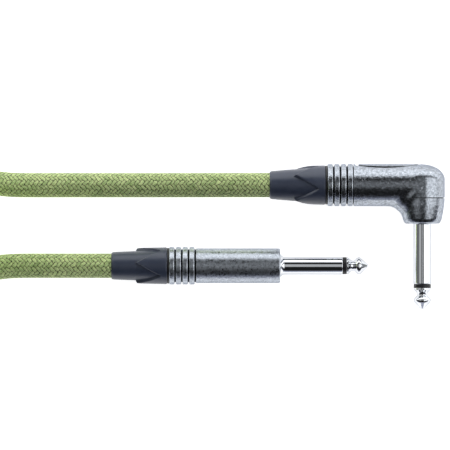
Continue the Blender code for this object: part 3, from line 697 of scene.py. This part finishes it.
def cable_mesh(line, sides, name):
    """A tube along a line, with its own length and girth, in millimetres, as UVs."""
    tangents = np.gradient(line, axis=0)
    tangents /= np.linalg.norm(tangents, axis=1, keepdims=True)
    across = np.cross(tangents[0], (0, 0, 1.0))
    frames = []
    for t in tangents:
        across = across - t * across.dot(t)
        across /= np.linalg.norm(across)
        frames.append((across.copy(), np.cross(t, across)))
    run = np.concatenate([[0.0], np.cumsum(np.linalg.norm(np.diff(line, axis=0), axis=1))])
    angles = TAU * np.arange(sides) / sides
    rings = [
        p + CABLE_R * (np.cos(angles)[:, None] * a + np.sin(angles)[:, None] * b)
        for p, (a, b) in zip(line, frames)
    ]
    verts = np.concatenate(rings) * MM
    faces, uvs = [], []
    girth = TAU * CABLE_R
    for i in range(len(line) - 1):
        for k in range(sides):
            n = (k + 1) % sides
            faces.append((i * sides + k, i * sides + n, (i + 1) * sides + n, (i + 1) * sides + k))
            v0, v1 = girth * k / sides, girth * (k + 1) / sides
            uvs += [(run[i], v0), (run[i], v1), (run[i + 1], v1), (run[i + 1], v0)]
    for ring in (0, len(line) - 1):
        faces.append(tuple(ring * sides + k for k in range(sides)))
        uvs += [(run[ring], 0.0)] * sides
    mesh = bpy.data.meshes.new(name)
    mesh.from_pydata(verts.tolist(), [], faces)
    layer = mesh.uv_layers.new(name="run")
    layer.data.foreach_set("uv", np.array(uvs, np.float32).ravel())
    bm = bmesh.new()
    bm.from_mesh(mesh)
    bmesh.ops.recalc_face_normals(bm, faces=bm.faces)
    bm.to_mesh(mesh)
    bm.free()
    mesh.shade_smooth()
    mesh.set_sharp_from_angle(angle=math.radians(50))
    mesh.materials.append(MATERIALS["cable_braid"])
    return linked(name, mesh)


def build_cable(ties):
    fine = spline_through(cable_route(), 4)
    cable = cable_mesh(fine, 32, "cable")
    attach(cable, ROOT)
    nodes = ("cable_run_straight", "cable_run_angled", "cable_hank", "straight_braid_end", "angled_braid_end")
    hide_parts(*nodes)


def build_strap(name, side, node):
    """A hook-and-loop strap round one side of the hank, with its free end lapped over the top."""
    half_w = CABLE_D + 0.15
    low, high = 1.0, HANK_BASE + HANK_LAYERS * CABLE_D + 0.15
    width, thick, corner = 18.0, 1.0, 3.2
    centre = (low + high) / 2
    half_h = (high - low) / 2

    inner_w, inner_h = half_w - corner, half_h - corner
    corners = [(inner_w, inner_h), (inner_w, -inner_h), (-inner_w, -inner_h), (-inner_w, inner_h)]
    flats = [2 * inner_w, 2 * inner_h] * 2
    quarter = corner * math.pi / 2

    def loop_point(s, out):
        """Point on a rounded rectangle at fraction s of its way round, pushed out by a distance."""
        at = (s % 1.0) * (sum(flats) + 4 * quarter)
        for k, (flat, (y, z)) in enumerate(zip(flats, corners)):
            angle = math.pi / 2 * (1 - k)
            if at <= flat:
                y -= (flat - at) * math.sin(angle)
                z += (flat - at) * math.cos(angle)
                break
            at -= flat
            if at <= quarter or k == 3:
                angle -= at / corner
                break
            at -= quarter
        return y + (corner + out) * math.cos(angle), z + (corner + out) * math.sin(angle)

    bm = bmesh.new()
    steps, lap, start = 160, 0.16, 0.06
    edge = 0.25
    middle_y = HANK_Y + side * (OUTER_FOLD + INNER_FOLD) / 2
    section = [(-width / 2, edge), (-width / 2, thick - edge), (-width / 2 + edge, thick)]
    section += [(width / 2 - edge, thick), (width / 2, thick - edge), (width / 2, edge)]
    section += [(width / 2 - edge, 0.0), (-width / 2 + edge, 0.0)]
    rows = []
    for k in range(steps + 1):
        s = (1.0 + lap) * k / steps
        lift = thick * smoother((s - 1.0 + 0.05) / 0.05)
        row = []
        for x, out in section:
            y, z = loop_point(s + start, lift + out)
            row.append(bm.verts.new((HANK_MIDDLE_X + x, middle_y + side * y, centre + z)))
        rows.append(row)
    for first, second in zip(rows, rows[1:]):
        for k in range(len(first)):
            n = (k + 1) % len(first)
            bm.faces.new((first[k], first[n], second[n], second[k]))
    bm.faces.new(rows[0])
    bm.faces.new(rows[-1])
    return finish_piece(name, bm, "tie_fabric", ROOT, [node])


# ---- the plugs' turned pieces


def sleeve_profile(flare_from, flare_to):
    """The contact's sleeve, from the collar in the shell's face to the black ring."""
    rear, collar_r, bore_r = -7.0, 4.15, 1.75
    points = [(rear, 4.5), (-3.1, 4.5), (-3.1, collar_r), (flare_from, collar_r)]
    span = flare_to - flare_from
    points += [(flare_from + 0.3 * span, 3.72), (flare_from + 0.62 * span, 3.36), (flare_to, SHANK_R)]
    points += [(SLEEVE_END - 0.2, SHANK_R), (SLEEVE_END, 3.0), (SLEEVE_END, bore_r), (rear, bore_r)]
    return rounded(points, 0.12, 3)


def tip_profile():
    """The rod inside the sleeve, then a step, a waist, the ball, and a cone with a small round point."""
    rod_end, rod_r, step_r = -9.6, 1.1, 3.03
    points = [(rod_end, 0.0), (rod_end, rod_r), (STEP, rod_r), (STEP, step_r), (STEP_END, step_r)]
    for k in range(13):
        t = k / 12
        r = WAIST_R + (step_r - WAIST_R) * (1 - math.sin(t * math.pi / 2)) ** 1.1
        points.append((STEP_END + (WAIST - STEP_END) * t, r))
    for k in range(1, 11):
        t = k / 10
        r = WAIST_R + (BALL_R - WAIST_R) * math.sin(t * math.pi / 2) ** 1.3
        points.append((WAIST + (BALL - WAIST) * t, r))
    points += [(27.9, 3.02), (28.3, 2.78), (30.4, 0.85), (30.75, 0.52), (30.93, 0.25)]
    return points + [(TIP_END, 0.0)]


def build_contact(prefix, spot, flare_from, flare_to):
    sleeve = turned(sleeve_profile(flare_from, flare_to))
    finish_at(f"{prefix}_sleeve", sleeve, "nickel_bright", ROOT, [f"{prefix}_sleeve_contact"], *spot)
    first, last, bore_r, outer_r = SLEEVE_END + 0.05, STEP - 0.1, 1.2, 3.12
    profile = [(first, bore_r), (first, outer_r), (last, outer_r), (last, bore_r)]
    ring = turned(rounded(profile, 0.08, 3))
    finish_at(f"{prefix}_ring", ring, "black_plastic", ROOT, [f"{prefix}_ring_insulator"], *spot)
    tip = turned(tip_profile())
    finish_at(f"{prefix}_tip", tip, "nickel_bright", ROOT, [f"{prefix}_tip_contact"], *spot)


RIBS, RIB_PITCH, RIB_ROUND, GROOVE, GROOVE_DEPTH = 4, 2.4, 0.4, 0.5, 0.85
RIBS_LENGTH = RIBS * RIB_PITCH


def rib_profile(rear, outer_r):
    """Rounded ribs with deep, straight grooves after them; the last groove is left open."""
    points = []
    for k in range(RIBS):
        start = rear + k * RIB_PITCH
        end = start + RIB_PITCH - GROOVE
        points += arc(start + RIB_ROUND, outer_r - RIB_ROUND, RIB_ROUND, 180, 90, 5)
        points += arc(end - RIB_ROUND, outer_r - RIB_ROUND, RIB_ROUND, 90, 0, 5)
        points.append((end, outer_r - GROOVE_DEPTH))
        if k < RIBS - 1:
            points.append((end + GROOVE, outer_r - GROOVE_DEPTH))
    return points


def shell_tail(rear, tail_r):
    """The threaded tail that the boot screws on to, from its far end to the ribs."""
    tail_end = rear - TAIL_LENGTH
    rows = [(tail_end, tail_r - 0.6)]
    rows += thread_rows(tail_end + 0.2, rear - 1.0, tail_r - 0.4)
    return rows + [(rear - 0.1, tail_r - 0.4), (rear, tail_r - 0.3)]


def build_straight_shell():
    front_r, recess_r, mouth_r, bore_r = 6.25, 4.25, 4.45, 4.6
    ribs_end = STRAIGHT_REAR + RIBS_LENGTH
    outer = shell_tail(STRAIGHT_REAR, STRAIGHT_TAIL_R) + rib_profile(STRAIGHT_REAR, STRAIGHT_R)
    outer += [(ribs_end, STRAIGHT_R - GROOVE_DEPTH), (ribs_end, front_r - 0.2)]
    outer += arc(ribs_end + 0.2, front_r - 0.2, 0.2, 180, 90, 4)
    outer += [(-20.0, front_r), (-10.0, front_r)] + arc(-0.45, front_r - 0.45, 0.45, 90, 0, 6)
    inner = [(0.0, mouth_r), (-0.2, recess_r), (-2.2, recess_r), (-2.2, bore_r)]
    inner.append((STRAIGHT_REAR - TAIL_LENGTH, bore_r))
    shell = turned(outer + inner, 128)
    finish_at("straight_body", shell, "nickel_satin", ROOT, ["straight_shell"], *STRAIGHT_AT)


def build_code_ring(prefix, rear, outer_r, tail_r, spot):
    first, last, inner_r = rear - 0.75, rear - 0.05, tail_r + 0.1
    profile = [(first, inner_r), (first, outer_r), (last, outer_r), (last, inner_r)]
    ring = turned(rounded(profile, 0.15, 3))
    finish_at(f"{prefix}_gap_ring", ring, "black_plastic", ROOT, [f"{prefix}_code_ring"], *spot)


# ---- the boots


LIP_LENGTH = 1.3  # how far the boot's mouth is rounded
LIP_R, CONE_R = 4.55, 4.95  # at the boot's mouth
EAR_LENGTH, COLLAR = 11.1, 2.4  # the ears, and the collar that they grow from
EAR_STEP = 0.5


def ear_height(u, angle, wide_u, turn):
    """How far a point lies inside an ear: 0 outside, 1 on it, with a soft step along the ear's edge."""
    tip, root = wide_u - EAR_LENGTH, wide_u - COLLAR
    off = ((angle - turn + math.pi / 4) % (math.pi / 2)) - math.pi / 4
    half = math.pi / 4 * min(max((u - tip) / (root - tip), 0.0), 1.0)
    if u >= root:
        half = math.pi
    inside = (half - abs(off)) * 5.8  # from an angle to millimetres on the skin
    return smoother(inside / EAR_STEP + 0.5) if u > tip - 0.2 else 0.0


def build_boot(prefix, wide_u, wide_r, middle_r, ear_r, tail_r, turn, spot):
    """Skin from the mouth to the wide face, divided finely enough for crisp ears, and then the bore."""
    mouth_u, tip_u = wide_u - BOOT_LENGTH, wide_u - EAR_LENGTH
    rows, lip_rows = 110, 8

    def cone_radius(share):
        return CONE_R + (middle_r - CONE_R) * share**0.85

    lip_r = cone_radius(LIP_LENGTH / (tip_u - mouth_u))
    outer = []
    for k in range(lip_rows):
        a = math.pi / 2 * k / lip_rows
        outer.append((mouth_u + LIP_LENGTH * (1 - math.cos(a)), LIP_R + (lip_r - LIP_R) * math.sin(a)))
    for k in range(rows + 1):
        u = mouth_u + LIP_LENGTH + (BOOT_LENGTH - 0.3 - LIP_LENGTH) * k / rows
        cone = cone_radius(min((u - mouth_u) / (tip_u - mouth_u), 1.0))
        deep = min(max((u - tip_u) / EAR_LENGTH, 0.0), 1.0)
        valley = middle_r - 0.05 + (ear_r - 0.2 - middle_r) * deep
        ridge = ear_r + (wide_r - ear_r) * deep

        def radius(angle, u=u, cone=cone, valley=valley, ridge=ridge):
            if u <= tip_u - 0.3:
                return cone
            base = min(cone, valley) if u < tip_u else valley
            return base + (ridge - base) * ear_height(u, angle, wide_u, turn)

        outer.append((u, radius))
    socket_end = wide_u - 5.2
    face = [(wide_u - 0.1, wide_r - 0.1), (wide_u, wide_r - 0.3), (wide_u, tail_r + 0.35)]
    bore = thread_rows(wide_u - 0.2, socket_end, tail_r - 0.2)
    bore += [(socket_end - 0.3, tail_r - 0.15), (socket_end - 4.2, LIP_R), (mouth_u + 0.2, LIP_R)]
    boot = turned(outer + face + bore, 192)
    body, node = f"{prefix}_boot_body", f"{prefix}_boot"
    finish_at(f"{prefix}_gland", boot, "boot_plastic", body, [node], *spot, sharp=40.0)


# ---- the angled body

BARREL_BORE_R, NOSE_BORE_R, NOSE_MOUTH_R, TAIL_BORE_R = 5.6, 4.6, 4.25, 4.95
ELBOW_TOP, DOME_DEPTH, CAP_BACK = 7.5, 5.6, 4.1
ELBOW_FROM = -24.75  # in the last groove of the ribs
BLEND = 0.64  # how widely the barrel flows into the nose
NOSE_EDGE = 0.9
# The eye on the barrel's far side: its middle and square end along u, half its length and height, how deep
# its groove goes into the barrel, how wide the groove is, and where the cutter ends outside
EYE_MIDDLE, EYE_CUT, EYE_HALF, EYE_REACH = -13.6, -24.1, 13.3, 4.46
EYE_DEPTH, EYE_GROOVE, EYE_TOP = 2.3, 1.15, 10.0
VOXEL = 0.26
FAR = 30.0


def column_radius(drop):
    """Radius of the nose at a drop below the barrel's axis."""
    points = [(SEAM_DROP, ELBOW_R), (7.5, 7.85), (10.5, 7.35), (12.3, 6.98), (13.2, 6.6), (14.5, 6.2)]
    drops, radii = zip(*points)
    return np.interp(drop, drops, radii)


def elbow_distance(p):
    """Signed distance, near enough, to the outer skin of barrel, elbow and nose."""
    x, y, z = p[:, 0], p[:, 1], p[:, 2]
    barrel = np.maximum(np.sqrt(y**2 + z**2) - BARREL_R, x)
    barrel = np.maximum(barrel, ELBOW_FROM - 1.5 - x)
    drop = -y
    across = np.sqrt(x**2 + (z / ELBOW_SQUEEZE) ** 2)
    above = np.maximum(-drop - (ELBOW_TOP - DOME_DEPTH), 0.0)
    dome = (np.sqrt((across / ELBOW_R) ** 2 + (above / DOME_DEPTH) ** 2) - 1) * DOME_DEPTH
    shaft = across - np.where(drop < SEAM_DROP, ELBOW_R, column_radius(drop))
    column = np.where(above > 0, dome, shaft)
    side, end = column + NOSE_EDGE, drop - NOSE_DROP + NOSE_EDGE
    outside = np.hypot(np.maximum(side, 0.0), np.maximum(end, 0.0))
    rounded_end = np.minimum(np.maximum(side, end), 0.0) + outside - NOSE_EDGE
    column = np.where(drop > SEAM_DROP, rounded_end, column)
    blend = np.maximum(BLEND * np.minimum(-x, -y), 0.02)
    h = np.clip(0.5 + 0.5 * (column - barrel) / blend, 0.0, 1.0)
    return column * (1 - h) + barrel * h - blend * h * (1 - h)


def projected(points, rounds):
    """Points moved on to the skin, with Newton steps."""
    nudge = 0.02
    for _ in range(rounds):
        value = elbow_distance(points)
        steps = np.eye(3) * nudge
        slope = [(elbow_distance(points + d) - elbow_distance(points - d)) / (2 * nudge) for d in steps]
        slope = np.stack(slope, 1)
        length = np.maximum((slope**2).sum(1), 0.2)
        points = points - np.clip((value / length)[:, None] * slope, -0.4, 0.4)
    return points


def evaluated_mesh(obj):
    graph = bpy.context.evaluated_depsgraph_get()
    return bpy.data.meshes.new_from_object(obj.evaluated_get(graph))


def boolean(mesh, cutter, operation):
    """A mesh cut by, or joined to, a bmesh."""
    solid, tool = linked("solid", mesh), linked("tool", as_mesh(cutter))
    modifier = solid.modifiers.new("boolean", "BOOLEAN")
    modifier.operation = operation
    modifier.solver = "EXACT"
    modifier.object = tool
    made = evaluated_mesh(solid)
    for obj in (solid, tool):
        bpy.data.objects.remove(obj)
    return made


def block(low, high):
    bm = bmesh.new()
    bmesh.ops.create_cube(bm, size=1.0)
    low, high = Vector(low), Vector(high)
    bm.transform(Matrix.Translation((low + high) / 2) @ Matrix.Diagonal((*(high - low), 1.0)))
    return bm


def upright(profile, segments=64, squeeze=1.0):
    """A solid turned about the plug's upright axis, from points (drop, radius)."""
    bm = turned(profile, segments)
    bm.transform(Matrix.Rotation(-math.pi / 2, 4, "Z") @ Matrix.Diagonal((1, 1, squeeze, 1)))
    return bm


def eye_prism(inset):
    """An eye-shaped block that enters the barrel's far side, cut off square beside the ribs."""
    half, reach_most, first = EYE_HALF - inset, EYE_REACH - inset, EYE_CUT + inset
    rows = 60
    bm = bmesh.new()
    layers = []
    for y in (BARREL_R - EYE_DEPTH - inset / 2, EYE_TOP + inset):
        upper, lower = [], []
        for i in range(rows + 1):
            x = first + (EYE_MIDDLE + half - first) * math.sin(math.pi / 2 * i / rows)
            reach = 0.02 + reach_most * math.sqrt(max(0.0, 1 - ((x - EYE_MIDDLE) / half) ** 2))
            upper.append(bm.verts.new((x, y, reach)))
            lower.append(bm.verts.new((x, y, -reach)))
        layers.append(upper + lower[::-1])
    for ring in layers:
        bm.faces.new(ring)
    for k in range(len(layers[0])):
        j = (k + 1) % len(layers[0])
        bm.faces.new((layers[0][k], layers[0][j], layers[1][j], layers[1][k]))
    bmesh.ops.recalc_face_normals(bm, faces=bm.faces)
    return bm


def elbow_skin():
    """Rough solids joined by a voxel remesh, and then every point moved on to the true surface."""
    bm = turned([(ELBOW_FROM - 1.5, 0.0), (ELBOW_FROM - 1.5, BARREL_R), (0.5, BARREL_R), (0.5, 0.0)], 64)
    column = [(-ELBOW_TOP, 0.0)]
    for k in range(1, 9):
        a = math.pi / 2 * k / 8
        column.append((-ELBOW_TOP + DOME_DEPTH * (1 - math.cos(a)), ELBOW_R * math.sin(a)))
    column += [(SEAM_DROP, ELBOW_R), (NOSE_DROP - 0.6, 6.9), (NOSE_DROP, 6.0), (NOSE_DROP, 0.0)]
    bm.from_mesh(as_mesh(upright(column, 64, ELBOW_SQUEEZE)))
    rough = linked("rough", as_mesh(bm))
    remesh = rough.modifiers.new("remesh", "REMESH")
    remesh.mode = "VOXEL"
    remesh.voxel_size = VOXEL
    mesh = evaluated_mesh(rough)
    bpy.data.objects.remove(rough)
    points = np.zeros(len(mesh.vertices) * 3)
    mesh.vertices.foreach_get("co", points)
    points = projected(points.reshape(-1, 3), 6)
    mesh.vertices.foreach_set("co", points.ravel())
    mesh.update()
    return boolean(mesh, block((ELBOW_FROM, -FAR, -FAR), (FAR, FAR, FAR)), "INTERSECT")


def bored(mesh):
    """The barrel's bore, and the well over the nose with its step and its narrower mouth."""
    bore = turned([(-FAR, 0.0), (-FAR, BARREL_BORE_R), (0.0, BARREL_BORE_R), (0.0, 0.0)], 64)
    mesh = boolean(mesh, bore, "DIFFERENCE")
    well = [(-ELBOW_TOP + 1.9, 0.0), (-ELBOW_TOP + 1.9, 4.2), (-ELBOW_TOP + 3.0, 5.8), (SEAM_DROP - 0.5, 5.8)]
    well += [(SEAM_DROP + 1.5, NOSE_BORE_R), (NOSE_DROP - 3.0, NOSE_BORE_R)]
    well += [(NOSE_DROP - 3.0, NOSE_MOUTH_R), (FAR, NOSE_MOUTH_R), (FAR, 0.0)]
    return boolean(mesh, upright(well), "DIFFERENCE")


def tongue(solid, span):
    """The part of a thin disc under the seam that lies in the cap's corner."""
    return boolean(as_mesh(solid), block(*span), "INTERSECT")


def build_angled_body():
    """Barrel and nose in one piece, and the cap with a fine open seam round it, closed inside by tongues."""
    back_gap, under, behind = 0.1, 7.7, 7.2
    solid = elbow_skin()
    groove = boolean(as_mesh(eye_prism(0.0)), eye_prism(EYE_GROOVE), "DIFFERENCE")
    solid = boolean(solid, as_bmesh(groove), "DIFFERENCE")
    corner = ((-CAP_BACK, -SEAM_DROP, -FAR), (FAR, FAR, FAR))
    inside = block((-CAP_BACK + back_gap, -SEAM_DROP + SEAM_GAP, -FAR), (FAR, FAR, FAR))
    cap = boolean(solid.copy(), inside, "INTERSECT")
    top = SEAM_DROP - 0.8
    disc = upright([(top, 0.0), (top, under), (SEAM_DROP, under), (SEAM_DROP, 0.0)], 64, ELBOW_SQUEEZE)
    cap = boolean(cap, as_bmesh(tongue(disc, corner)), "UNION")
    front = -CAP_BACK + 0.6
    disc = turned([(-CAP_BACK, 0.0), (-CAP_BACK, behind), (front, behind), (front, 0.0)], 64)
    cap = boolean(cap, as_bmesh(tongue(disc, corner)), "UNION")
    shell = bored(boolean(solid, block(*corner), "DIFFERENCE"))
    tube = shell_tail(ANGLED_REAR, ANGLED_TAIL_R) + rib_profile(ANGLED_REAR, BARREL_R)
    joint, inner_r = ELBOW_FROM + 0.2, BARREL_BORE_R + 0.2
    tube += [(joint, BARREL_R - GROOVE_DEPTH), (joint, inner_r), (ANGLED_REAR + 4.9, inner_r)]
    tube += [(ANGLED_REAR + 4.0, TAIL_BORE_R), (ANGLED_REAR - TAIL_LENGTH, TAIL_BORE_R)]
    shell = boolean(shell, turned(tube, 128), "UNION")
    for name, mesh, node in (
        ("angled_cap", bored(cap), "angled_rear_cap"),
        ("angled_shell", shell, "angled_body"),
    ):
        bm = as_bmesh(mesh)
        bmesh.ops.remove_doubles(bm, verts=bm.verts, dist=0.0005)
        bmesh.ops.dissolve_degenerate(bm, edges=bm.edges, dist=0.0005)
        bmesh.ops.holes_fill(bm, edges=[e for e in bm.edges if e.is_boundary], sides=6)
        piece = finish_at(name, bm, "nickel_satin", ROOT, [node], *ANGLED_AT, sharp=50.0)
        piece.data.materials[0] = ANGLED_METAL


# ---- the CAD's own pieces


def dress_cad_nodes():
    """Puts the script's materials on the CAD nodes that stay in view or inside the plugs."""
    for part in frame["record"]["subparts"]:
        node, slot = part["node"], part["material_slot"]
        angled_metal = slot == "nickel_satin" and node.startswith("angled")
        materials = frame["nodes"][node].data.materials
        materials.clear()
        materials.append(ANGLED_METAL if angled_metal else MATERIALS[slot])


# ---- floor and light


def build_floor():
    bm = bmesh.new()
    bmesh.ops.create_grid(bm, x_segments=1, y_segments=1, size=3.0)
    mesh = bpy.data.meshes.new("floor")
    bm.to_mesh(mesh)
    bm.free()
    mesh.materials.append(floor_paper())
    floor = linked("floor", mesh)
    floor.location = (0.0, 0.0, -0.0002)


def studio_world():
    """A light-walled studio with a dark ceiling, painted by direction alone.

    tilt_y and tilt_x are a direction's lean from straight up, in degrees, towards +Y and +X.
    """
    world = bpy.data.worlds.new("studio")
    world.use_nodes = True
    tree = world.node_tree
    n = Nodes(tree)
    background = tree.nodes["Background"]
    direction = n.add("ShaderNodeTexCoord").outputs["Generated"]
    direction = n.add("ShaderNodeSeparateXYZ", (direction,)).outputs

    def tilt(k):
        return n.times(n.math("ARCTAN2", direction[k], direction[2]), 180 / math.pi)

    def past(value, low, high):
        return n.clamp(value, low, high)

    def before(value, low, high):
        return n.clamp(value, low, high, 1.0, 0.0)

    tilt_y, tilt_x = tilt(1), tilt(0)
    lean_y, lean_x = n.size(tilt_y), n.size(tilt_x)
    far_wall = past(tilt_y, 44.0, 52.0)
    near_wall = before(tilt_y, -76.0, -68.0)
    right_wall = n.times(past(tilt_x, 15.0, 22.0), before(lean_y, 14.0, 40.0))
    left_wall = n.times(before(tilt_x, -100.0, -88.0), before(lean_y, 20.0, 45.0))
    left_dim = n.times(before(tilt_x, -46.0, -44.0), before(lean_y, 14.0, 30.0))
    left_panel = n.times(before(tilt_x, -16.0, -11.0), past(tilt_x, -48.0, -42.0))
    left_panel = n.times(left_panel, before(lean_y, 14.0, 30.0))
    strip = n.times(past(tilt_y, -18.0, -9.0), before(tilt_y, 14.0, 24.0))
    strip = n.times(strip, before(lean_x, 3.0, 6.0))
    levels = ((far_wall, 1.7), (right_wall, 1.5), (left_wall, 0.8))
    levels += ((left_dim, 0.16), (left_panel, 0.45), (strip, 0.5))
    white = 0.012
    for share, strength in levels:
        white = n.math("MAXIMUM", white, n.times(share, strength))
    violet = n.times(near_wall, 0.5)
    above = n.math("GREATER_THAN", violet, white)
    n.put(background.inputs["Color"], n.mix(above, (0.97, 0.99, 1.0), (0.78, 0.82, 1.0)))
    n.put(background.inputs["Strength"], n.math("MAXIMUM", white, violet))
    world.cycles.sampling_method = "MANUAL"
    world.cycles.sample_map_resolution = 1024
    bpy.context.scene.world = world


# ---- putting it together

set_camera()
build_cable([build_strap("tie_near", -1, "cable_tie_near"), build_strap("tie_far", 1, "cable_tie_far")])
build_straight_shell()
build_contact("straight", (FACE_X + SHOULDER, STRAIGHT_Y, STRAIGHT_R, 0.0), -0.75, 0.7)
build_code_ring("straight", STRAIGHT_REAR, 6.45, STRAIGHT_TAIL_R, STRAIGHT_AT)
boot_sizes = (6.65, 5.3, 6.4, STRAIGHT_TAIL_R)
build_boot("straight", STRAIGHT_REAR - RING_WIDTH, *boot_sizes, math.radians(79), STRAIGHT_AT)
build_angled_body()
build_contact("angled", (CORNER_X, ANGLED_Y - NOSE_DROP, BARREL_R, -math.pi / 2), -0.5, 0.15)
build_code_ring("angled", ANGLED_REAR, 7.0, ANGLED_TAIL_R, ANGLED_AT)
boot_sizes = (7.1, 5.75, 6.85, ANGLED_TAIL_R)
build_boot("angled", ANGLED_REAR - RING_WIDTH, *boot_sizes, math.radians(57), ANGLED_AT)
dress_cad_nodes()
build_floor()
studio_world()
scene = bpy.context.scene
scene.view_settings.view_transform = "Standard"
scene.view_settings.look = "None"
